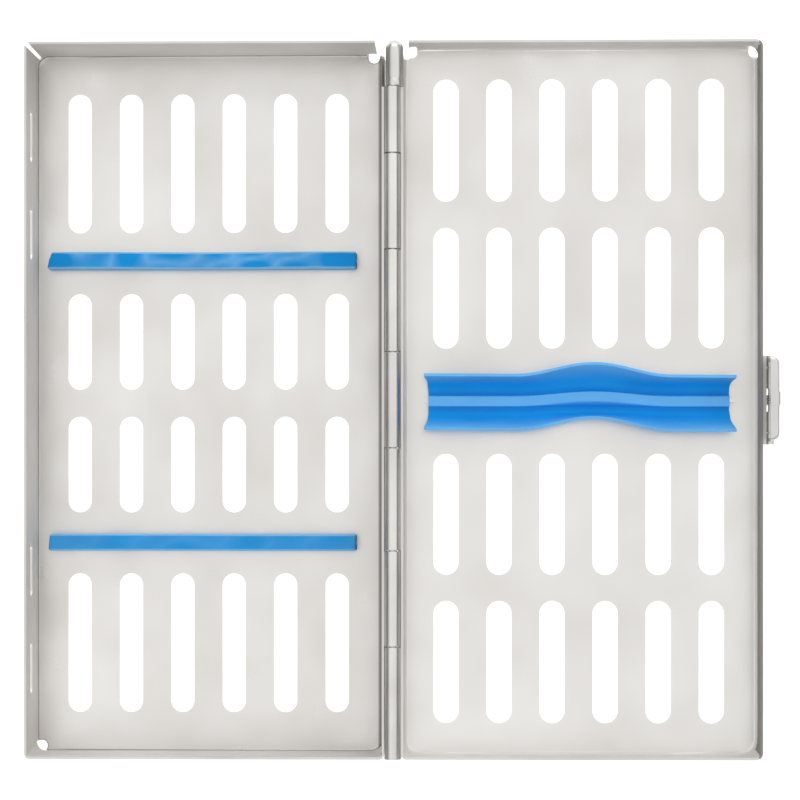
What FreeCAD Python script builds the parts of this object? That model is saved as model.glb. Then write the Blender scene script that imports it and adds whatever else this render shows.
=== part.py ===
import FreeCAD, Part
import os

# A perforated steel case for five hand instruments, lying open: the deep tray on the left,
# the shallow lid on the right. X runs from the tray's latch side to the lid's latch side,
# Y along the hinge from the near end to the far end, and Z up from the table. All in mm.

os.makedirs("parts", exist_ok=True)
V = FreeCAD.Vector

# Shells
sheet = 0.6
shell_length = 180.0
shell_width = 90.4
tray_depth = 20.0
lid_depth = 9.0
rim_gap = 0.2  # left between the two rims when the case is shut
tray_bend = 0.4  # inside radius from floor to wall
lid_bend = 1.0

# Floor slots: start and end of each row, measured from the middle
tray_slot_width = 6.0
tray_slot_pitch = 13.25
tray_slot_rows = [(3.5, 28.1), (43.8, 79.5)]
lid_slot_width = 6.4
lid_slot_pitch = 13.4
lid_slot_rows = [(13.3, 43.9), (50.5, 81.4)]
tray_slot_shift = -0.65  # from the middle of the floor
lid_slot_shift = -0.5
slot_columns = 6
vent_length = 13.4
vent_height = 3.4
vent_middles = [42.7, 67.4]
vent_z = 12.0

# Bend reliefs: distance in from the corner along X and along Y, height over the floor, radius
tray_near_relief = (1.5, 1.8, 1.2, 1.9)
tray_hinge_relief = (3.2, 1.2, 1.1, 1.8)
lid_hinge_relief = (2.5, 1.6, 1.0, 1.7)
lid_front_relief = (1.6, 1.9, 1.5, 1.9)
slit_low = 0.9
slit_root = 0.7
slit_mouth = 1.0
tray_notch = (2.4, 3.8)  # cut out of the walls beside the end cap: along X, along Y
tray_notch_low = 1.2  # the tray's floor stays whole under it
lid_notch = (1.9, 3.5)

# Hinge
hinge_gap = 2.1  # pin axis to the outside of either hinge wall
barrel_radius = 2.0
knuckle_seams = [61.7, 37.7, 12.0]
seam_gap = 0.3
leaf_thick = 0.7
leaf_drop = 7.0
pin_radius = 1.0
pin_clearance = 0.05
cap_radius = 2.15
cap_offset = 0.5  # the end cap sits a little towards the lid
cap_length = 11.4
cap_end_wall = 2.7  # from the far end to the bottom of the cap's bore
cap_room = 0.2
sweep_clearance = 0.15
leaf_end = 4.6  # from either end of the shells to the leaves
lid_leaf_end = 3.6
pin_near_end = 0.3
pin_far_end = 3.2
pin_chamfer = 0.2

# Rails and cushion
far_rail_y = 36.4
near_rail_y = -35.8
rail_length = 78.8
rail_shift = -1.8  # from the middle of the tray towards its latch side
rail_width = 4.3
rail_top = 5.0
rail_edge = 0.6
bar_thick = 0.8
tab_spread = 0.36  # of the bar's length, from its middle to the outer tabs
bar_rise = 3.6
bar_inset = 0.6  # from the silicone's end to the bar's end
tab_length = 6.0
tab_play = 0.1
sleeve_fit = 0.05
cushion_length = 78.6
cushion_root = 2.6
cushion_web_top = 14.7
cushion_bar_rise = 2.5
cushion_web_thick = 1.1
fin_spread = 7.2
fin_tip = 0.4
fin_top = 18.8
fin_thick = 0.9

# Latch
catch_reach = 0.6
catch_low = 11.4
catch_high = 16.9
catch_thick = 0.4
catch_inset = 1.4  # narrower than the latch plate at each end
ledge_thick = 0.6
latch_reach = 3.5  # from the lid's front wall to the rib's face
bracket_length = 22.2
bracket_thick = 0.6
bracket_low = 13.1
bracket_high = 17.9
bracket_root = 0.6
hem_width = 1.05
hem_height = 0.6
latch_length = 20.7
latch_thick = 0.7
latch_knuckle = 1.1
latch_pin_radius = 0.6
latch_axis_out = 2.1  # from the lid's front wall
latch_axis_z = 16.5
latch_top = 30.0
latch_corner = 1.8
latch_edge = 0.9
latch_foot = 1.5  # from the pin's axis to the plate's lower edge
lip_clear = 0.85  # from the lid's front wall to the lip's free edge
flange_clear = 1.4  # the same, for the side flanges
knuckle_inner = 2.9  # the latch's knuckles, measured from its middle
knuckle_outer = 8.05
knuckle_play = 0.2
rib_width = 3.3
rib_rise = 0.3
spring_wire = 0.4
spring_turns = 5
spring_gap = 0.12

# Places worked out from the sizes above
hinge_x = (catch_reach - latch_reach) / 2
hinge_z = tray_depth
rim_z = tray_depth - rim_gap / 2
tray_front = hinge_x - hinge_gap - shell_width
tray_back = hinge_x - hinge_gap
lid_back = hinge_x + hinge_gap
lid_front = lid_back + shell_width
lid_z = tray_depth - lid_depth
far_y = shell_length / 2
near_y = -far_y
tray_middle = (tray_front + tray_back) / 2
lid_middle = (lid_back + lid_front) / 2
latch_axis_x = lid_front + latch_axis_out
cap_start = far_y - cap_length
cap_seam = cap_start - cap_room  # where the last knuckle ends and the cap begins


def slab(x0, x1, y0, y1, z0, z1):
    return Part.makeBox(x1 - x0, y1 - y0, z1 - z0, V(x0, y0, z0))


def rod(radius, y0, y1, x, z):
    return Part.makeCylinder(radius, y1 - y0, V(x, y0, z), V(0, 1, 0))


def slot(middle, along, across, length, width, depth):
    # A round-ended slot cutter: length runs along one unit vector, width across it.
    half = width / 2
    run = along * (length / 2 - half)
    side = across * half
    tip = along * (length / 2)
    a, b = middle - run - side, middle + run - side
    c, d = middle + run + side, middle - run + side
    edges = [
        Part.makeLine(a, b),
        Part.Arc(b, middle + tip, c).toShape(),
        Part.makeLine(c, d),
        Part.Arc(d, middle - tip, a).toShape(),
    ]
    return Part.Face(Part.Wire(edges)).extrude(depth)


def outline(x0, x1, z, inset, radii):
    # Rectangle with its own radius at each corner: far left, far right, near right, near left.
    left, right = x0 + inset, x1 - inset
    near, far = near_y + inset, far_y - inset
    corners = [(left, far, 1, -1), (right, far, -1, -1), (right, near, -1, 1), (left, near, 1, 1)]
    edges = []
    starts = []
    ends = []
    for index, (x, y, dx, dy) in enumerate(corners):
        r = max(radii[index] - inset, 0.2)
        on_side = V(x, y + dy * r, z)
        on_end = V(x + dx * r, y, z)
        bulge = 1 - 0.5 ** 0.5
        middle = V(x + dx * r * bulge, y + dy * r * bulge, z)
        first, last = (on_side, on_end) if index in (0, 2) else (on_end, on_side)
        edges.append(Part.Arc(first, middle, last).toShape())
        starts.append(first)
        ends.append(last)
    for index in range(4):
        edges.append(Part.makeLine(ends[index], starts[(index + 1) % 4]))
    return Part.Wire(Part.__sortEdges__(edges))


def block(x0, x1, z0, z1, inset, floor_radii, rim_radii, bend):
    # Solid pan shape whose corners change from the floor's radii to the rim's.
    low = outline(x0, x1, z0, inset, floor_radii)
    high = outline(x0, x1, z1, inset, rim_radii)
    body = Part.makeLoft([low, high], True, True)
    bottom = [e for e in body.Edges if all(abs(v.Z - z0) < 0.001 for v in e.Vertexes)]
    return body.makeFillet(bend, bottom)


def pan(x0, x1, z0, bend, floor_radii, rim_radii):
    outside = block(x0, x1, z0, rim_z, 0, floor_radii, rim_radii, bend + sheet)
    inside = block(x0, x1, z0 + sheet, rim_z, sheet, floor_radii, rim_radii, bend)
    return outside.cut(inside)


def floor_slots(middle_x, z0, width, pitch, rows):
    # Columns of round-ended slots, each row repeated at the near end.
    cutters = []
    for column in range(slot_columns):
        x = middle_x + (column - (slot_columns - 1) / 2) * pitch
        for start, end in rows:
            for side in (1, -1):
                middle = V(x, side * (start + end) / 2, z0 - 1)
                cutters.append(slot(middle, V(0, 1, 0), V(1, 0, 0), end - start, width, V(0, 0, sheet + 2)))
    return cutters


def tab_places(middle_x, length):
    return [middle_x + step * length * tab_spread for step in (-1, 0, 1)]


def tab_slots(middle_x, length, y, z0):
    cutters = []
    for x in tab_places(middle_x, length):
        half = tab_length / 2 + tab_play
        wide = bar_thick / 2 + sleeve_fit
        cutters.append(slab(x - half, x + half, y - wide, y + wide, z0 - 1, z0 + sheet + 1))
    return cutters


def relief_bite(corner_x, corner_y, z0, relief):
    # Round relief hole at the root of a corner, opened in floor and wall alike.
    in_x, in_y, up, radius = relief
    x = corner_x + (in_x if corner_x in (tray_front, lid_back) else -in_x)
    y = corner_y + (in_y if corner_y < 0 else -in_y)
    return Part.makeSphere(radius, V(x, y, z0 + up))


def mitre_slit(x, y, z0, z1, root, mouth):
    # Wedge-shaped gap where two walls meet at the tray's far front corner.
    diagonal = V(1, -1, 0).normalize()
    across = V(1, 1, 0).normalize()
    start = V(x, y, 0) - diagonal * 1.0
    points = [
        start - across * (root / 2) + V(0, 0, z0),
        start + across * (root / 2) + V(0, 0, z0),
        start + across * (mouth / 2) + V(0, 0, z1),
        start - across * (mouth / 2) + V(0, 0, z1),
    ]
    face = Part.Face(Part.makePolygon(points + points[:1]))
    return face.extrude(diagonal * 4.0)


def cap_clearance():
    reach = cap_radius + cap_offset + sweep_clearance
    return rod(reach, cap_seam, far_y + 1, hinge_x, hinge_z)


def base_tray():
    shell = pan(tray_front, tray_back, 0, tray_bend, (3.6, 3.6, 4.5, 3.6), (1.2, 1.2, 1.2, 1.2))
    cutters = floor_slots(tray_middle + tray_slot_shift, 0, tray_slot_width, tray_slot_pitch, tray_slot_rows)
    for y in vent_middles:
        for side in (1, -1):
            middle = V(tray_front - 1, side * y, vent_z)
            cutters.append(slot(middle, V(0, 1, 0), V(0, 0, 1), vent_length, vent_height, V(3, 0, 0)))
    for y in (far_rail_y, near_rail_y):
        cutters += tab_slots(tray_middle + rail_shift, rail_length, y, 0)
    cutters.append(mitre_slit(tray_front, far_y, slit_low, rim_z + 0.1, slit_root, slit_mouth))
    cutters.append(relief_bite(tray_front, near_y, 0, tray_near_relief))
    cutters.append(relief_bite(tray_back, far_y, 0, tray_hinge_relief))
    notch_x, notch_y = tray_notch
    start = far_y - notch_y
    cutters.append(slab(tray_back - notch_x, tray_back + 1, start, far_y + 1, tray_notch_low, tray_depth + 1))
    cutters.append(cap_clearance())
    return shell.cut(cutters)


def lid_tray():
    shell = pan(lid_back, lid_front, lid_z, lid_bend, (3.6, 4.6, 4.6, 4.2), (1.2, 1.8, 1.8, 1.2))
    cutters = floor_slots(lid_middle + lid_slot_shift, lid_z, lid_slot_width, lid_slot_pitch, lid_slot_rows)
    cutters += tab_slots(lid_middle, cushion_length, 0, lid_z)
    cutters.append(relief_bite(lid_back, far_y, lid_z, lid_hinge_relief))
    cutters.append(relief_bite(lid_front, far_y, lid_z, lid_front_relief))
    notch_x, notch_y = lid_notch
    cutters.append(slab(lid_back - 1, lid_back + notch_x, far_y - notch_y, far_y + 1, 0, tray_depth + 1))
    cutters.append(cap_clearance())
    return shell.cut(cutters)


def knuckle(y0, y1):
    return rod(barrel_radius, y0 + seam_gap / 2, y1 - seam_gap / 2, hinge_x, hinge_z)


def leaf_plate(side, y0, y1, top):
    wall = hinge_x + side * hinge_gap
    inner = wall - side * leaf_thick
    return slab(min(wall, inner), max(wall, inner), y0, y1, hinge_z - leaf_drop, top)


def pin_hole():
    return rod(pin_radius + pin_clearance, near_y - 1, far_y + 1, hinge_x, hinge_z)


def hinge_leaf(side, spans, y0, y1, cap_drop):
    # Plate against the wall, full height behind its own knuckles and lower behind the others.
    low = hinge_z - barrel_radius - 0.2
    solid = leaf_plate(side, y0, y1, low)
    for start, end in spans:
        solid = solid.fuse(leaf_plate(side, start + seam_gap / 2, end - seam_gap / 2, hinge_z))
        solid = solid.fuse(knuckle(start, end))
    over_cap = slab(hinge_x - 5, hinge_x + 5, cap_seam, far_y + 1, hinge_z - cap_drop, hinge_z + 5)
    return solid.cut(over_cap).cut(pin_hole()).removeSplitter()


def base_hinge_leaf():
    outer, middle, inner = knuckle_seams
    spans = [(middle, outer), (-inner, inner), (-outer, -middle)]
    drop = cap_radius + cap_offset + sweep_clearance
    return hinge_leaf(-1, spans, near_y + leaf_end, far_y - leaf_end, drop)


def lid_hinge_leaf():
    outer, middle, inner = knuckle_seams
    spans = [(outer, cap_start), (inner, middle), (-middle, -inner), (near_y, -outer)]
    return hinge_leaf(1, spans, near_y + leaf_end, far_y - lid_leaf_end, cap_radius + pin_clearance)


def hinge_pin():
    pin = rod(pin_radius, near_y + pin_near_end, far_y - pin_far_end, hinge_x, hinge_z)
    return pin.makeChamfer(pin_chamfer, [e for e in pin.Edges if e.Curve.TypeId == "Part::GeomCircle"])


def hinge_end_cap():
    # Domed tube over the pin's far end, pressed against the last knuckle.
    x = hinge_x + cap_offset
    tube = rod(cap_radius, cap_seam, far_y - cap_radius, x, hinge_z)
    dome = Part.makeSphere(cap_radius, V(x, far_y - cap_radius, hinge_z))
    bore = rod(pin_radius + pin_clearance, cap_seam - 1, far_y - cap_end_wall, hinge_x, hinge_z)
    return tube.fuse(dome).cut(bore).removeSplitter()


def tabbed_bar(middle_x, cover_length, y, z0, rise):
    # Upright strip on the floor, held by tabs that pass through it.
    low = z0 + sheet
    half = bar_thick / 2
    reach = cover_length / 2 - bar_inset
    bar = slab(middle_x - reach, middle_x + reach, y - half, y + half, low, low + rise)
    for x in tab_places(middle_x, cover_length):
        bar = bar.fuse(slab(x - tab_length / 2, x + tab_length / 2, y - half, y + half, z0 + sleeve_fit, low))
    return bar.removeSplitter()


def rail_bar(y):
    return tabbed_bar(tray_middle + rail_shift, rail_length, y, 0, bar_rise)


def rail_sleeve(y):
    x = tray_middle + rail_shift
    half = rail_width / 2
    low = sheet + sleeve_fit
    sleeve = slab(x - rail_length / 2, x + rail_length / 2, y - half, y + half, low, rail_top)
    upper = [e for e in sleeve.Edges if all(v.Z > rail_top - 0.01 for v in e.Vertexes)]
    sleeve = sleeve.makeFillet(rail_edge, upper)
    wide = bar_thick / 2 + sleeve_fit
    reach = rail_length / 2 - bar_inset + sleeve_fit
    groove = slab(x - reach, x + reach, y - wide, y + wide, 0, sheet + bar_rise + sleeve_fit)
    return sleeve.cut(groove)


def cushion_bar():
    return tabbed_bar(lid_middle, cushion_length, 0, lid_z, cushion_bar_rise)


def lid_cushion():
    # Root over the bar, flat web, and two fins that flare upwards and outwards.
    root = cushion_root / 2
    low = lid_z + sheet + sleeve_fit
    half = [(root, low), (root, cushion_web_top - cushion_web_thick), (fin_spread, fin_top - fin_thick),
            (fin_spread - fin_tip, fin_top), (root, cushion_web_top)]
    points = half + [(-y, z) for y, z in reversed(half)]
    start = lid_middle - cushion_length / 2
    polygon = Part.makePolygon([V(start, y, z) for y, z in points + points[:1]])
    solid = Part.Face(polygon).extrude(V(cushion_length, 0, 0))
    wide = bar_thick / 2 + sleeve_fit
    reach = cushion_length / 2 - bar_inset + sleeve_fit
    top = lid_z + sheet + cushion_bar_rise + sleeve_fit
    return solid.cut(slab(lid_middle - reach, lid_middle + reach, -wide, wide, lid_z, top))


def edges_through(solid, x=None, z=None):
    # Straight edges whose two ends both lie at the given X, at the given Z, or at both.
    found = []
    for edge in solid.Edges:
        at_x = x is None or all(abs(v.X - x) < 0.001 for v in edge.Vertexes)
        at_z = z is None or all(abs(v.Z - z) < 0.001 for v in edge.Vertexes)
        if at_x and at_z:
            found.append(edge)
    return found


def uprights(solid, x):
    return [e for e in edges_through(solid, x=x) if abs(e.Vertexes[0].Z - e.Vertexes[1].Z) > 1]


def latch_bracket():
    # Strip on the lid's front wall with a hemmed upper edge and a curled knuckle at each end.
    half = bracket_length / 2
    back = lid_front
    strip = slab(back, back + bracket_thick, -half, half, bracket_low, bracket_high)
    hem = slab(back, back + hem_width, -half, half, bracket_high - hem_height, bracket_high)
    solid = strip.fuse(hem)
    for side in (1, -1):
        y0, y1 = sorted((side * half, side * (knuckle_outer + knuckle_play)))
        curl = rod(latch_knuckle, y0, y1, latch_axis_x, latch_axis_z)
        low = latch_axis_z - latch_knuckle
        root = slab(back, latch_axis_x, y0, y1, low, low + bracket_root)
        solid = solid.fuse([curl, root])
    bore = rod(latch_pin_radius, -half - 1, half + 1, latch_axis_x, latch_axis_z)
    return solid.cut(bore).removeSplitter()


def latch_pin():
    half = bracket_length / 2
    return rod(latch_pin_radius, -half, half, latch_axis_x, latch_axis_z)


def pressed_block(x1, half, z0, z1, corner, edge):
    # Rounded block from the lip's free edge out to x1.
    solid = slab(lid_front + lip_clear, x1, -half, half, z0, z1)
    if corner:
        solid = solid.makeFillet(corner, uprights(solid, x1))
    return solid.makeFillet(edge, edges_through(solid, x=x1, z=z1))


def latch_plate():
    # Pressed plate with side flanges, a raised rib, an inward lip at its free edge and two knuckles.
    half = latch_length / 2
    outer = latch_axis_x + latch_knuckle
    inner = outer - latch_thick
    foot = latch_axis_z + latch_foot
    top = latch_top - rib_rise
    under = top - latch_thick
    solid = pressed_block(outer, half, foot, top, latch_corner, latch_edge)
    rib = pressed_block(outer + rib_rise, rib_width / 2, foot + 1, latch_top, 0, latch_edge + rib_rise)
    solid = solid.fuse(rib)
    side = half - latch_thick
    hollow = slab(lid_front, inner, -side, side, foot - 1, under)
    hollow = hollow.makeFillet(latch_corner - latch_thick, uprights(hollow, inner))
    step = slab(lid_front, lid_front + flange_clear, -half - 1, half + 1, foot - 1, under)
    solid = solid.cut([hollow, step])
    for way in (1, -1):
        y0, y1 = sorted((way * knuckle_inner, way * knuckle_outer))
        curl = rod(latch_knuckle, y0, y1, latch_axis_x, latch_axis_z)
        root = slab(inner, outer, y0, y1, latch_axis_z, foot + 0.1)
        solid = solid.fuse([curl, root])
    bore = rod(latch_pin_radius + pin_clearance, -half, half, latch_axis_x, latch_axis_z)
    return solid.cut(bore).removeSplitter()


def latch_spring():
    # Small torsion coil round the middle of the latch pin.
    coil_radius = latch_pin_radius + 0.1 + spring_wire / 2
    pitch = spring_wire + spring_gap
    height = pitch * spring_turns
    helix = Part.makeHelix(pitch, height, coil_radius)
    circle = Part.makeCircle(spring_wire / 2, V(coil_radius, 0, 0), V(0, 1, 0))
    coil = Part.Wire(helix).makePipeShell([Part.Wire(circle)], True, True)
    coil.rotate(V(0, 0, 0), V(1, 0, 0), -90)
    coil.translate(V(latch_axis_x, -height / 2, latch_axis_z))
    return coil


def catch_plate():
    # Strip on the tray's front wall, thicker along its lower edge, where the latch's lip hooks under.
    half = latch_length / 2 - catch_inset
    flange = slab(tray_front - catch_thick, tray_front, -half, half, catch_low, catch_high)
    ledge = slab(tray_front - catch_reach, tray_front, -half, half, catch_low, catch_low + ledge_thick)
    return flange.fuse(ledge).removeSplitter()


parts = {
    "base_tray": base_tray(),
    "lid_tray": lid_tray(),
    "base_hinge_leaf": base_hinge_leaf(),
    "lid_hinge_leaf": lid_hinge_leaf(),
    "hinge_pin": hinge_pin(),
    "hinge_end_cap": hinge_end_cap(),
    "far_rail_bar": rail_bar(far_rail_y),
    "near_rail_bar": rail_bar(near_rail_y),
    "far_rail_sleeve": rail_sleeve(far_rail_y),
    "near_rail_sleeve": rail_sleeve(near_rail_y),
    "cushion_bar": cushion_bar(),
    "lid_cushion": lid_cushion(),
    "latch_bracket": latch_bracket(),
    "latch_pin": latch_pin(),
    "latch_plate": latch_plate(),
    "latch_spring": latch_spring(),
    "catch_plate": catch_plate(),
}

for name, shape in parts.items():
    box = shape.BoundBox
    print(name, shape.isValid(), len(shape.Solids), round(shape.Volume, 1),
          [round(v, 2) for v in (box.XMin, box.XMax, box.YMin, box.YMax, box.ZMin, box.ZMax)])
    shape.exportStep(f"parts/{name}.step")
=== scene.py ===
import math

import bmesh
import bpy
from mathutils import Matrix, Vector, noise
from mathutils.geometry import interpolate_bezier


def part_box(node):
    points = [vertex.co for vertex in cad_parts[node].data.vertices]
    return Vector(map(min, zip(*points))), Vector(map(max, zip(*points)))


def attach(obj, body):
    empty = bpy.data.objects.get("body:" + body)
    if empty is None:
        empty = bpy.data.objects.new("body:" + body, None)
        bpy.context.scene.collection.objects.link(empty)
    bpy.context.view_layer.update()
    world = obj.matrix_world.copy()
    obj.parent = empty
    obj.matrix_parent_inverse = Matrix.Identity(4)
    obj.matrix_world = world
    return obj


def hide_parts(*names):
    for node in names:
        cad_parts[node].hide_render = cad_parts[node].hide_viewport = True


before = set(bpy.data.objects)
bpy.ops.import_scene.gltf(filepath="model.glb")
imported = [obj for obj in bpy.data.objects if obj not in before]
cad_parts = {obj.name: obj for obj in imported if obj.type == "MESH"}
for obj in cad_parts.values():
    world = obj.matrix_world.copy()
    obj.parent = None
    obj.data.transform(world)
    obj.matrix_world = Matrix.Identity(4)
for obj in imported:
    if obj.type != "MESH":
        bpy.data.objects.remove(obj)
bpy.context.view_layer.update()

mm = 0.001
print("frame loaded:", len(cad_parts), "nodes")

trayLow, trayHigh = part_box("base_tray")
lidLow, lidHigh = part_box("lid_tray")
pinLow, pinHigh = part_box("hinge_pin")
pinX = (pinLow.x + pinHigh.x) / 2


view = {
    "lens": 126,
    "right": 21.15,     # mm from the hinge axis
    "near": 27.5,       # mm towards the near end
    "height": 720,
    "lean": 1.268,      # degrees towards the tray
    "shiftX": -0.0188,
    "shiftY": 0.1375,
}


def addCamera():
    data = bpy.data.cameras.new("camera")
    data.lens = view["lens"]
    data.sensor_width = 36
    data.shift_x = view["shiftX"]
    data.shift_y = view["shiftY"]
    camera = bpy.data.objects.new("camera", data)
    camera.location = (pinX + view["right"] * mm, -view["near"] * mm, view["height"] * mm)
    camera.rotation_euler = (0, math.radians(view["lean"]), 0)
    bpy.context.collection.objects.link(camera)
    bpy.context.scene.camera = camera


studio = {
    "sky": 0.92,
    "horizon": 0.05,
    "fallStart": 0.15,
    "fallEnd": 0.84,
    "floorGlow": 0.55,
    "floorHalf": 6,
    "floorDrop": 0.2,   # mm under the part
    "floorRough": 0.9,
    "floorShine": 0.1,
    "keyPower": 12.0,
    "sidePower": 0.4,
    "fillPower": 1.6,
}


def addAreaLight(name, place, size, power):
    data = bpy.data.lights.new(name, "AREA")
    data.size = size
    data.energy = power
    light = bpy.data.objects.new(name, data)
    light.location = place
    light.rotation_euler = (-Vector(place)).to_track_quat("-Z", "Y").to_euler()
    bpy.context.collection.objects.link(light)


def addWorld():
    # Soft box overhead that falls off towards the horizon.
    world = bpy.data.worlds.new("studio")
    bpy.context.scene.world = world
    world.use_nodes = True
    tree = world.node_tree
    background = tree.nodes["Background"]
    coords = tree.nodes.new("ShaderNodeTexCoord")
    split = tree.nodes.new("ShaderNodeSeparateXYZ")
    fall = tree.nodes.new("ShaderNodeMapRange")
    fall.interpolation_type = "SMOOTHSTEP"
    fall.inputs["From Min"].default_value = studio["fallStart"]
    fall.inputs["From Max"].default_value = studio["fallEnd"]
    fall.inputs["To Min"].default_value = studio["horizon"]
    fall.inputs["To Max"].default_value = studio["sky"]
    tree.links.new(coords.outputs["Generated"], split.inputs[0])
    tree.links.new(split.outputs["Z"], fall.inputs["Value"])
    tree.links.new(fall.outputs[0], background.inputs["Strength"])
    background.inputs["Color"].default_value = (1, 0.995, 0.985, 1)


def addFloor():
    bm = bmesh.new()
    bmesh.ops.create_grid(bm, x_segments=1, y_segments=1, size=studio["floorHalf"])
    bmesh.ops.translate(bm, verts=bm.verts, vec=(0, 0, -studio["floorDrop"] * mm))
    mesh = bpy.data.meshes.new("studioFloor")
    bm.to_mesh(mesh)
    floor = bpy.data.objects.new("studioFloor", mesh)
    bpy.context.collection.objects.link(floor)
    material, shader = newMaterial("paleFloor")
    shader.inputs["Base Color"].default_value = (0.86, 0.86, 0.86, 1)
    shader.inputs["Roughness"].default_value = studio["floorRough"]
    shader.inputs["Specular IOR Level"].default_value = studio["floorShine"]
    shader.inputs["Emission Color"].default_value = (1, 1, 1, 1)
    shader.inputs["Emission Strength"].default_value = studio["floorGlow"]
    mesh.materials.append(material)


def newMaterial(name):
    material = bpy.data.materials.new(name)
    material.use_nodes = True
    return material, material.node_tree.nodes["Principled BSDF"]


def noiseField(material, scale, detail=3.0, stretch=(1, 1, 1), roughness=0.5):
    nodes = material.node_tree.nodes
    links = material.node_tree.links
    coords = nodes.new("ShaderNodeTexCoord")
    mapping = nodes.new("ShaderNodeMapping")
    mapping.inputs["Scale"].default_value = stretch
    field = nodes.new("ShaderNodeTexNoise")
    field.inputs["Scale"].default_value = scale
    field.inputs["Detail"].default_value = detail
    field.inputs["Roughness"].default_value = roughness
    links.new(coords.outputs["Object"], mapping.inputs["Vector"])
    links.new(mapping.outputs[0], field.inputs["Vector"])
    return field.outputs["Fac"]


def ramp(material, source, low, high, start=0.3, end=0.7):
    # Turns a field into a colour or a number between two ends.
    nodes = material.node_tree.nodes
    node = nodes.new("ShaderNodeMapRange")
    node.inputs["From Min"].default_value = start
    node.inputs["From Max"].default_value = end
    if isinstance(low, tuple):
        blend = nodes.new("ShaderNodeMix")
        blend.data_type = "RGBA"
        blend.inputs[6].default_value = (*low, 1)
        blend.inputs[7].default_value = (*high, 1)
        material.node_tree.links.new(source, node.inputs["Value"])
        material.node_tree.links.new(node.outputs[0], blend.inputs[0])
        return blend.outputs[2]
    node.inputs["To Min"].default_value = low
    node.inputs["To Max"].default_value = high
    material.node_tree.links.new(source, node.inputs["Value"])
    return node.outputs[0]


def addBump(material, shader, layers):
    # Each layer is a field and its depth in metres; they stack.
    nodes = material.node_tree.nodes
    links = material.node_tree.links
    normal = None
    for source, depth in layers:
        node = nodes.new("ShaderNodeBump")
        node.inputs["Distance"].default_value = depth
        node.inputs["Strength"].default_value = 1.0
        links.new(source, node.inputs["Height"])
        if normal:
            links.new(normal, node.inputs["Normal"])
        normal = node.outputs[0]
    links.new(normal, shader.inputs["Normal"])


sheetSteel = {
    "dark": (0.755, 0.735, 0.71),
    "light": (0.86, 0.845, 0.825),
    "smooth": 0.27,
    "rough": 0.38,
    "wallRough": 0.8,
    "wallMetal": 0.4,
    "wallShadeTint": (0.95, 0.94, 0.93),
    "paintedShadeTint": (0.40, 0.40, 0.395),
    "edgeTint": (0.88, 0.87, 0.86),
    "cloudScale": 34,
    "cloudDepth": 0.00005,
    "grainScale": 2600,
    "grainDepth": 0.0000025,
}
traySteel = dict(sheetSteel, rootShadeTint=(0.34, 0.33, 0.32), rootStart=2.3, rootEnd=1.7,
                 rootLow=2.0, rootHigh=3.0)
latchSteel = {
    "dark": (0.66, 0.65, 0.635),
    "light": (0.76, 0.75, 0.735),
    "smooth": 0.30,
    "rough": 0.40,
    "wallRough": 0.45,
    "wallMetal": 1.0,
    "wallShadeTint": (1.0, 1.0, 1.0),
    "paintedShadeTint": (1.0, 1.0, 1.0),
    "edgeTint": (1.0, 1.0, 1.0),
    "cloudScale": 90,
    "cloudDepth": 0.00002,
    "grainScale": 2600,
    "grainDepth": 0.0000015,
}


def faceValue(material, name):
    node = material.node_tree.nodes.new("ShaderNodeAttribute")
    node.attribute_name = name
    return node.outputs["Fac"]


def tinted(material, colour, amount, tint):
    # Multiplies a colour by a tint where the amount is 1.
    blend = material.node_tree.nodes.new("ShaderNodeMix")
    blend.data_type = "RGBA"
    blend.blend_type = "MULTIPLY"
    blend.inputs[7].default_value = (*tint, 1)
    material.node_tree.links.new(amount, blend.inputs[0])
    material.node_tree.links.new(colour, blend.inputs[6])
    return blend.outputs[2]


def paintedRootShade(material):
    # Painted shade: a darker line along the tray's floor where it turns up into the hinge wall.
    nodes = material.node_tree.nodes
    links = material.node_tree.links
    coords = nodes.new("ShaderNodeTexCoord")
    split = nodes.new("ShaderNodeSeparateXYZ")
    both = nodes.new("ShaderNodeMath")
    both.operation = "MULTIPLY"
    links.new(coords.outputs["Object"], split.inputs[0])
    start, end = (trayHigh.x - traySteel[key] * mm for key in ("rootStart", "rootEnd"))
    low, high = (traySteel[key] * mm for key in ("rootLow", "rootHigh"))
    links.new(ramp(material, split.outputs["X"], 0.0, 1.0, start, end), both.inputs[0])
    links.new(ramp(material, split.outputs["Z"], 1.0, 0.0, low, high), both.inputs[1])
    return both.outputs[0]


def satinSteelMaterial(name, look):
    # Electropolished satin sheet: cloudy and finely grained, duller on walls and sheared edges; walls are
    # also painted a little darker as shade, and marked places take deeper painted shade.
    material, shader = newMaterial(name)
    clouds = noiseField(material, look["cloudScale"], 2.0)
    smudges = noiseField(material, look["cloudScale"] * 3, 4.0, (1.3, 0.8, 1))
    grain = noiseField(material, look["grainScale"], 2.0)
    nodes = material.node_tree.nodes
    links = material.node_tree.links
    wall = faceValue(material, "wall")
    links.new(ramp(material, wall, 1.0, look["wallMetal"], 0.0, 1.0), shader.inputs["Metallic"])
    colour = ramp(material, clouds, look["dark"], look["light"])
    # Painted shade: walls a little darker than the floor.
    colour = tinted(material, colour, wall, look["wallShadeTint"])
    # Painted shade on inner walls facing -X, on rim edges at the tray's hinge side and the lid's far side,
    # and in the tray's bends.
    colour = tinted(material, colour, faceValue(material, "paintedShade"), look["paintedShadeTint"])
    colour = tinted(material, colour, faceValue(material, "rim"), look["edgeTint"])
    if look is traySteel:
        colour = tinted(material, colour, paintedRootShade(material), look["rootShadeTint"])
    links.new(colour, shader.inputs["Base Color"])
    gloss = nodes.new("ShaderNodeMix")
    gloss.inputs[3].default_value = look["wallRough"]
    links.new(wall, gloss.inputs[0])
    links.new(ramp(material, smudges, look["smooth"], look["rough"]), gloss.inputs[2])
    links.new(gloss.outputs[0], shader.inputs["Roughness"])
    addBump(material, shader, [(clouds, look["cloudDepth"]), (grain, look["grainDepth"])])
    return material


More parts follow.
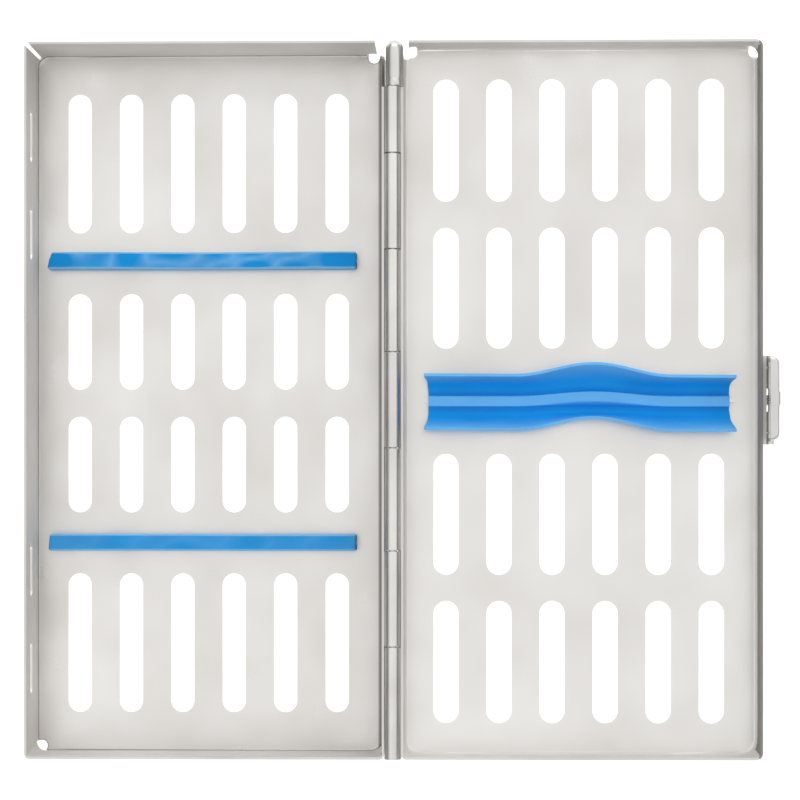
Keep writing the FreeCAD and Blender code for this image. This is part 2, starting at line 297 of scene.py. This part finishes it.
rolledSteel = {
    "dark": (0.72, 0.705, 0.685),
    "light": (0.86, 0.85, 0.83),
    "smooth": 0.28,
    "rough": 0.36,
    "turnedShadeTint": (0.36, 0.355, 0.35),
    "cloudScale": 60,
    "streakScale": 700,
    "streakDepth": 0.0000015,
}


def rolledSteelMaterial(name):
    # Bright rolled strip with faint draw lines along the hinge, painted darker as shade where its faces
    # turn aside or face the ends.
    material, shader = newMaterial(name)
    streaks = noiseField(material, rolledSteel["streakScale"], 3.0, (1, 0.04, 1))
    clouds = noiseField(material, rolledSteel["cloudScale"], 3.0)
    links = material.node_tree.links
    shader.inputs["Metallic"].default_value = 1.0
    colour = ramp(material, clouds, rolledSteel["dark"], rolledSteel["light"])
    colour = tinted(material, colour, faceValue(material, "paintedTurnShade"), rolledSteel["turnedShadeTint"])
    links.new(colour, shader.inputs["Base Color"])
    gloss = ramp(material, streaks, rolledSteel["smooth"], rolledSteel["rough"])
    links.new(gloss, shader.inputs["Roughness"])
    addBump(material, shader, [(streaks, rolledSteel["streakDepth"])])
    return material


springWire = {
    "dark": (0.42, 0.42, 0.43),
    "light": (0.56, 0.55, 0.54),
    "roughness": 0.3,
    "markScale": 1800,
    "markDepth": 0.000002,
}


def springWireMaterial():
    material, shader = newMaterial("springWire")
    marks = noiseField(material, springWire["markScale"], 2.0)
    shader.inputs["Metallic"].default_value = 1.0
    shader.inputs["Roughness"].default_value = springWire["roughness"]
    tint = ramp(material, marks, springWire["dark"], springWire["light"])
    material.node_tree.links.new(tint, shader.inputs["Base Color"])
    addBump(material, shader, [(marks, springWire["markDepth"])])
    return material


silicone = {
    "deep": (0.0, 0.265, 0.68),
    # pale blue that the painted light blends towards
    "edge": (0.26, 0.56, 0.84),
    "smooth": 0.40,
    "rough": 0.54,
    "specular": 0.25,
    "railStrength": 1.0,
    "cushionStrength": 1.16,
    "bloomScale": 260,
    "poreScale": 3200,
    "poreDepth": 0.000006,
    "bloomSpread": 0.06,
    "ior": 1.41,
    "glow": 0.12,         # share of light that goes under the surface
    "glowRadius": (0.2, 0.5, 1.0),
    "glowReach": 1.5,     # mm
}


def siliconeMaterial(name, strength):
    # Moulded silicone: deep blue in the body; painted light makes it paler where it thins to an edge, on
    # the lit web and on crumple ridges.
    material, shader = newMaterial(name)
    nodes = material.node_tree.nodes
    links = material.node_tree.links
    paintedLight = nodes.new("ShaderNodeAttribute")
    paintedLight.attribute_name = "paintedLight"
    bloom = noiseField(material, silicone["bloomScale"], 4.0, (0.35, 1, 1))
    pores = noiseField(material, silicone["poreScale"], 2.0)
    base = ramp(material, paintedLight.outputs["Fac"], silicone["deep"], silicone["edge"], 0.0, 1.0)
    tone = nodes.new("ShaderNodeHueSaturation")
    links.new(base, tone.inputs["Color"])
    spread = silicone["bloomSpread"]
    value = ramp(material, bloom, (1 - spread) * strength, (1 + spread) * strength)
    links.new(value, tone.inputs["Value"])
    links.new(tone.outputs[0], shader.inputs["Base Color"])
    links.new(ramp(material, bloom, silicone["smooth"], silicone["rough"]), shader.inputs["Roughness"])
    shader.inputs["IOR"].default_value = silicone["ior"]
    shader.inputs["Specular IOR Level"].default_value = silicone["specular"]
    shader.inputs["Subsurface Weight"].default_value = silicone["glow"]
    shader.inputs["Subsurface Radius"].default_value = silicone["glowRadius"]
    shader.inputs["Subsurface Scale"].default_value = silicone["glowReach"] * mm
    addBump(material, shader, [(pores, silicone["poreDepth"])])
    return material


polish = {
    "segments": 3,
    "angle": 38,
    "weld": 0.001,
    "flatAngle": 0.4,
    "rimBand": 0.5,
    "wallTilt": 0.35,
    "bendTilt": 0.96,
    "bendBand": 2.2,
    # Painted shade: how much the tray's bends take, and which walls and rim faces take it fully.
    "bendPaintedShade": 0.8,
    "paintedShadeTilt": 0.8,
    "edgeTilt": 0.2,
    "rimPaintedShadeBand": 1.0,
    "turnStart": 0.62,
    "endTilt": 0.5,
    "floorBand": 1.0,
}


def turnedAway(aside):
    # How far a rolled face has turned to the side, used as its painted shade: 0 on top, 1 at the edge of
    # the barrel.
    return max(0.0, min(1.0, (aside - polish["turnStart"]) / (1 - polish["turnStart"])))


def markSheet(bm, node):
    # Marks walls, the places painted with shade, the sheared edge round the rim and the painted shade on
    # turned rolled faces, for the steel to read.
    wall = bm.faces.layers.float.new("wall")
    rim = bm.faces.layers.float.new("rim")
    paintedShade = bm.faces.layers.float.new("paintedShade")
    paintedTurnShade = bm.faces.layers.float.new("paintedTurnShade")
    low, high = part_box(node)
    middle = (low + high) / 2
    for face in bm.faces:
        upright = abs(face.normal.z) < polish["wallTilt"]
        aboveFloor = face.calc_center_median().z > low.z + polish["floorBand"] * mm
        nearFloor = face.calc_center_median().z < low.z + polish["bendBand"] * mm
        bend = nearFloor and polish["wallTilt"] <= face.normal.z < polish["bendTilt"]
        face[wall] = 1.0 if bend or (upright and aboveFloor) else 0.0
        inward = face.normal.dot(face.calc_center_median() - middle) < 0
        shaded = upright and aboveFloor and inward and face.normal.x < -polish["paintedShadeTilt"]
        atRim = min(v.co.z for v in face.verts) > high.z - polish["rimBand"] * mm
        lastRim = atRim and face.calc_center_median().x > high.x - polish["rimPaintedShadeBand"] * mm
        innerEdge = lastRim and node == "base_tray" and face.normal.x < -polish["edgeTilt"]
        # Painted shade on inner walls facing -X, the tray's inner rim edge at the hinge, the lid's rim at
        # its far side, and more lightly in the tray's bends.
        if shaded or innerEdge or (lastRim and node == "lid_tray"):
            face[paintedShade] = 1.0
        elif bend and node == "base_tray":
            face[paintedShade] = polish["bendPaintedShade"]
        face[rim] = 1.0 if atRim else 0.0
        # Painted shade on rolled faces that face the ends or turn aside from the top.
        face[paintedTurnShade] = 1.0 if abs(face.normal.y) > polish["endTilt"] else turnedAway(abs(face.normal.x))


def polishedCopy(name, node, body, material, width):
    bm = bmesh.new()
    bm.from_mesh(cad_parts[node].data)
    bmesh.ops.remove_doubles(bm, verts=bm.verts, dist=polish["weld"] * mm)
    flat = math.radians(polish["flatAngle"])
    bmesh.ops.dissolve_limit(bm, angle_limit=flat, verts=bm.verts, edges=bm.edges)
    sharp = math.radians(polish["angle"])
    edges = [e for e in bm.edges if len(e.link_faces) == 2 and e.calc_face_angle() > sharp]
    bmesh.ops.bevel(bm, geom=edges, offset=width * mm, offset_type="OFFSET", affect="EDGES",
                    segments=polish["segments"], profile=0.5, material=-1, clamp_overlap=True)
    bmesh.ops.triangulate(bm, faces=[f for f in bm.faces if len(f.verts) > 4])
    bm.normal_update()
    markSheet(bm, node)
    piece = finishPiece(name, bm, body, material)
    weighted = piece.modifiers.new("evenShading", "WEIGHTED_NORMAL")
    weighted.keep_sharp = True
    weighted.weight = 100
    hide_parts(node)
    return piece


def finishPiece(name, bm, body, material, smoothAngle=30):
    # Writes the mesh, shades it smooth up to an angle and lets it ride on its body.
    for face in bm.faces:
        face.smooth = True
    limit = math.radians(smoothAngle)
    for edge in bm.edges:
        edge.smooth = len(edge.link_faces) != 2 or edge.calc_face_angle(0) < limit
    mesh = bpy.data.meshes.new(name)
    bm.to_mesh(mesh)
    bm.free()
    mesh.materials.append(material)
    piece = bpy.data.objects.new(name, mesh)
    bpy.context.collection.objects.link(piece)
    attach(piece, body)
    return piece


def extrudeProfile(outline, x0, x1, steps):
    # Fills an outline in the YZ plane and draws it out along X in even steps.
    bm = bmesh.new()
    face = bm.faces.new([bm.verts.new((x0, y, z)) for y, z in outline])
    out = bmesh.ops.extrude_face_region(bm, geom=[face])
    moved = [v for v in out["geom"] if isinstance(v, bmesh.types.BMVert)]
    bmesh.ops.translate(bm, verts=moved, vec=(x1 - x0, 0, 0))
    for step in range(1, steps):
        everything = bm.verts[:] + bm.edges[:] + bm.faces[:]
        cut = x0 + (x1 - x0) * step / steps
        bmesh.ops.bisect_plane(bm, geom=everything, plane_co=(cut, 0, 0), plane_no=(1, 0, 0))
    bmesh.ops.recalc_face_normals(bm, faces=bm.faces)
    return bm


capLook = {
    "sides": 56,
    "domeRings": 14,
    "bore": 1.55,         # clears the pin, which runs half a millimetre off the cap's middle
    "boreEnd": 2.7,
    "crimpAt": 2.0,
    "crimpDepth": 0.07,
    "crimpWide": 0.5,
    "tipShade": 0.6,
    "seat": 0.05,         # left clear in front of the mouth, for the shut pose
    "lip": 0.25,
}


def hingeEndCap(material):
    # Hollow cup over the pin's end, with a round tip and a shallow crimp near its mouth.
    low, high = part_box("hinge_end_cap")
    radius = (high.x - low.x) / 2
    centre = (low + high) / 2
    bore = capLook["bore"] * mm
    mouth = low.y + capLook["seat"] * mm
    lip = capLook["lip"] * mm
    profile = [(high.y - capLook["boreEnd"] * mm, bore), (mouth, bore), (mouth, radius - lip),
               (mouth + lip * 0.3, radius - lip * 0.3), (mouth + lip, radius)]
    for share in (-1, -0.5, 0, 0.5, 1):
        dip = capLook["crimpDepth"] * mm * (1 - share * share)
        profile.append((low.y + (capLook["crimpAt"] + share * capLook["crimpWide"]) * mm, radius - dip))
    for ring in range(capLook["domeRings"]):
        angle = 0.5 * math.pi * ring / capLook["domeRings"]
        profile.append((high.y - radius + radius * math.sin(angle), radius * math.cos(angle)))
    bm = bmesh.new()
    rings = []
    for y, reach in profile:
        turns = [2 * math.pi * k / capLook["sides"] for k in range(capLook["sides"])]
        rings.append([bm.verts.new((centre.x + reach * math.cos(a), y, centre.z + reach * math.sin(a)))
                      for a in turns])
    for first, second in zip(rings, rings[1:]):
        for k in range(capLook["sides"]):
            after = (k + 1) % capLook["sides"]
            bm.faces.new((first[k], first[after], second[after], second[k]))
    tip = bm.verts.new((centre.x, high.y, centre.z))
    for k in range(capLook["sides"]):
        bm.faces.new((rings[-1][k], rings[-1][(k + 1) % capLook["sides"]], tip))
    bm.faces.new(rings[0])
    bmesh.ops.recalc_face_normals(bm, faces=bm.faces)
    # Painted shade on the cap's sides and its round tip.
    paintedTurnShade = bm.verts.layers.float.new("paintedTurnShade")
    for vert in bm.verts:
        along = max(0.0, (vert.co.y - (high.y - radius)) / radius)
        aside = abs(vert.co.x - centre.x) / radius
        vert[paintedTurnShade] = max(capLook["tipShade"] * min(1.0, along) ** 1.5, turnedAway(aside))
    piece = finishPiece("hingeEndDome", bm, "lid", material, 60)
    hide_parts("hinge_end_cap")
    return piece


def bevelLong(bm, places, width, segments):
    # Rounds the long edges that run through the given points of the outline.
    edges = []
    for edge in bm.edges:
        a, b = edge.verts
        along = abs(a.co.x - b.co.x) > 0.9 * edge.calc_length()
        if along and any(abs(a.co.y - y) + abs(a.co.z - z) < 0.02 * mm for y, z in places):
            edges.append(edge)
    bmesh.ops.bevel(bm, geom=edges, offset=width, offset_type="OFFSET", affect="EDGES",
                    segments=segments, profile=0.5, material=-1, clamp_overlap=True)


def bump(x, middle, half):
    # Smooth hump, 1 in the middle and 0 beyond half its width.
    away = abs(x - middle) / half
    return 0.0 if away >= 1 else 0.5 + 0.5 * math.cos(math.pi * away)


# Shine is the painted highlight laid on the crumple ridges.
railLook = {
    "far": {"sway": 0.10, "waves": 1.3, "slant": 0.6,
            "crumple": 0.30, "creases": 95, "shine": 0.7, "seed": 3.0},
    "near": {"sway": 0.05, "waves": 0.8, "slant": 0.2,
             "crumple": 0.08, "creases": 90, "shine": 0.12, "seed": 8.0},
    "round": 0.6,
    "grooveHalf": 0.45,
    "across": [-0.5, -0.17, 0.17, 0.5],
    "steps": 130,
    "fit": 0.05,          # over the bar
    "paleFrom": 0.72,     # share of the half width where the painted highlight along the edge begins
    "paleWide": 0.2,
    "slantReach": 0.04,
}


def roundSleeve(bm, low, high, width):
    # Rounds the two long upper edges, the upper edges of the ends and the four outer corners.
    def at(value, place):
        return abs(value - place) < 0.02 * mm

    edges = []
    for edge in bm.edges:
        a, b = (v.co for v in edge.verts)
        side = any(at(a.y, y) and at(b.y, y) for y in (low.y, high.y))
        end = any(at(a.x, x) and at(b.x, x) for x in (low.x, high.x))
        top = at(a.z, high.z) and at(b.z, high.z)
        if (side and top) or (end and top) or (end and side):
            edges.append(edge)
    bmesh.ops.bevel(bm, geom=edges, offset=width, offset_type="OFFSET", affect="EDGES",
                    segments=4, profile=0.5, material=-1, clamp_overlap=True)


def railSleeve(name, node, barNode, look, material):
    # Silicone sleeve pushed over the upright bar, lightly crumpled along its top, with painted highlights
    # along its top edges and on the crumple ridges.
    low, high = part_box(node)
    groove = railLook["grooveHalf"] * mm
    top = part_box(barNode)[1].z + railLook["fit"] * mm
    y = (low.y + high.y) / 2
    halfWidth = (high.y - low.y) / 2
    crown = [(y + share * halfWidth, high.z) for share in railLook["across"]]
    outline = [(low.y, low.z), (low.y, high.z)] + crown + [
        (high.y, high.z), (high.y, low.z),
        (y + groove, low.z), (y + groove, top), (y - groove, top), (y - groove, low.z),
    ]
    bm = extrudeProfile(outline, low.x, high.x, railLook["steps"])
    roundSleeve(bm, low, high, railLook["round"] * mm)
    paintedLight = bm.verts.layers.float.new("paintedLight")
    span = high.x - low.x
    for vert in bm.verts:
        t = (vert.co.x - low.x) / span
        rise = (vert.co.z - low.z) / (high.z - low.z)
        across = (vert.co.y - y) / halfWidth
        edge = min(1.0, max(0.0, (abs(across) - railLook["paleFrom"]) / railLook["paleWide"]))
        # Painted highlight along the rounded top edges.
        vert[paintedLight] = 0.12 + 0.85 * edge * rise
        if abs(vert.co.y - y) <= groove * 1.05 and vert.co.z < high.z - 0.1 * mm:
            continue
        place = Vector((vert.co.x * look["creases"], vert.co.y * look["creases"] * 1.6, look["seed"]))
        crease = 1 - 2 * abs(noise.noise(place)) ** 0.7
        # Painted highlight on the crumple ridges.
        vert[paintedLight] += look["shine"] * (crease - 0.45) * rise * (1 - edge)
        vert.co.z += look["crumple"] * mm * (crease - 0.6) * rise * (1 - 0.6 * edge)
        vert.co.y += look["sway"] * mm * math.sin(look["waves"] * 2 * math.pi * t + 0.6) * rise
        vert.co.x += look["slant"] * mm * across * bump(t, 0, railLook["slantReach"])
    piece = finishPiece(name, bm, "base", material, 50)
    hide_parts(node)
    return piece


cushionLook = {
    "steps": 96,
    "startIn": 0.9,       # pulled in from the hinge end and the latch end
    "endIn": 2.0,
    "webHalf": 1.3,
    "webTop": 14.9,
    "trough": 13.45,
    "tipY": 6.45,
    "tipZ": 18.9,
    "thickness": 0.7,
    "leanAt": 0.54,       # share of the length from the hinge end
    "leanHalf": 0.25,
    "lean": 2.5,
    "webLean": 0.6,
    "endCurlHinge": 1.1,
    "endCurlLatch": 1.6,
    "curlReachHinge": 0.08,
    "curlReachLatch": 0.12,
    # Painted light: the web top and the fin tips are painted paler.
    "webPale": 0.42,
    "finPale": 0.5,
    "webRound": 0.25,
    "offset": -0.4,       # sideways set of the fins at the hinge end
    "drift": -0.5,        # and how much it grows towards the latch
}


def cushionOutline():
    # Web over the bar, a trough each side of it, and fins that curve up and out.
    look = cushionLook
    web = look["webHalf"]
    topLine = interpolate_bezier(
        Vector((web + 0.15, look["trough"])), Vector((web + 2.6, look["trough"] - 0.9)),
        Vector((look["tipY"] - 1.5, 15.4)), Vector((look["tipY"], look["tipZ"])), 12)
    underLine = interpolate_bezier(
        Vector((look["tipY"] + look["thickness"], look["tipZ"] - 0.15)), Vector((look["tipY"] - 0.7, 14.6)),
        Vector((web + 2.2, 12.1)), Vector((web, 12.5)), 12)
    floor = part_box("lid_cushion")[0].z / mm
    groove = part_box("cushion_bar")[1].z / mm + 0.05
    right = [(0.45, groove), (0.45, floor), (web, floor)]
    right += [(p.x, p.y) for p in reversed(underLine)]
    right += [(p.x, p.y) for p in reversed(topLine)]
    right += [(web, look["webTop"])]
    left = [(-y, z) for y, z in reversed(right)]
    return [(y * mm, z * mm) for y, z in right + left]


def lidCushion(material):
    look = cushionLook
    low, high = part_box("lid_cushion")
    outline = cushionOutline()
    bm = extrudeProfile(outline, low.x + look["startIn"] * mm, high.x - look["endIn"] * mm, look["steps"])
    web, top = look["webHalf"] * mm, look["webTop"] * mm
    bevelLong(bm, [(web, top), (-web, top)], look["webRound"] * mm, 3)
    paintedLight = bm.verts.layers.float.new("paintedLight")
    span = high.x - low.x
    for vert in bm.verts:
        t = (vert.co.x - low.x) / span
        reach = min(1.0, abs(vert.co.y) / (look["tipY"] * mm))
        height = max(0.0, (vert.co.z - look["trough"] * mm) / ((look["tipZ"] - look["trough"]) * mm))
        onWeb = abs(vert.co.y) < web * 1.02 and vert.co.z > look["trough"] * mm
        # Painted light on the pale web top and on fins that grow paler towards their tips; painted shade
        # keeps them deep near the web.
        vert[paintedLight] = look["webPale"] if onWeb else height ** 1.5 * look["finPale"]
        if abs(vert.co.y) < 0.5 * mm and vert.co.z < 14.5 * mm:
            continue
        hump = bump(t, look["leanAt"], look["leanHalf"])
        vert.co.y += look["webLean"] * hump * mm * min(1, height * 6 + 0.2)
        vert.co.y += (look["lean"] * hump + look["offset"] + look["drift"] * t) * mm * height
        curl = look["endCurlLatch"] * bump(t, 1, look["curlReachLatch"])
        curl -= look["endCurlHinge"] * bump(t, 0, look["curlReachHinge"])
        vert.co.x += curl * mm * reach ** 2 * min(1, height + 0.15)
    piece = finishPiece("lidCushion", bm, "lid", material, 40)
    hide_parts("lid_cushion")
    return piece


addCamera()
addWorld()
addFloor()
addAreaLight("farSoftbox", (0.05, 1.2, 0.45), 1.8, studio["keyPower"])
addAreaLight("rightSoftbox", (0.80, 0.10, 0.55), 0.6, studio["sidePower"])
addAreaLight("nearFill", (-0.30, -0.70, 0.70), 0.8, studio["fillPower"])
bpy.context.scene.view_settings.view_transform = "Standard"
print("stage set")

sheetMaterial = satinSteelMaterial("satinSheetSteel", sheetSteel)
trayMaterial = satinSteelMaterial("satinTraySteel", traySteel)
hingeMaterial = rolledSteelMaterial("rolledHingeSteel")
latchMaterial = satinSteelMaterial("pressedLatchSteel", latchSteel)
wireMaterial = springWireMaterial()
railBlue = siliconeMaterial("railSilicone", silicone["railStrength"])
cushionBlue = siliconeMaterial("cushionSilicone", silicone["cushionStrength"])
print("materials made")

steelPieces = [
    ("trayShell", "base_tray", "base", trayMaterial, 0.2),
    ("lidShell", "lid_tray", "lid", sheetMaterial, 0.2),
    ("trayHingeLeaf", "base_hinge_leaf", "base", hingeMaterial, 0.1),
    ("lidHingeLeaf", "lid_hinge_leaf", "lid", hingeMaterial, 0.1),
    ("catchStrip", "catch_plate", "base", latchMaterial, 0.08),
]
for name, node, body, material, width in steelPieces:
    polishedCopy(name, node, body, material, width)
carriedOver = {
    "hinge_pin": hingeMaterial,
    "far_rail_bar": sheetMaterial,
    "near_rail_bar": sheetMaterial,
    "cushion_bar": sheetMaterial,
    "latch_bracket": latchMaterial,
    "latch_plate": latchMaterial,
    "latch_pin": latchMaterial,
    "latch_spring": wireMaterial,
}
for node, material in carriedOver.items():
    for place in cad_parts[node].material_slots:
        place.material = material
hingeEndCap(hingeMaterial)
print("steel pieces made")

railSleeve("farRailSleeve", "far_rail_sleeve", "far_rail_bar", railLook["far"], railBlue)
railSleeve("nearRailSleeve", "near_rail_sleeve", "near_rail_bar", railLook["near"], railBlue)
lidCushion(cushionBlue)
print("silicone pieces made")
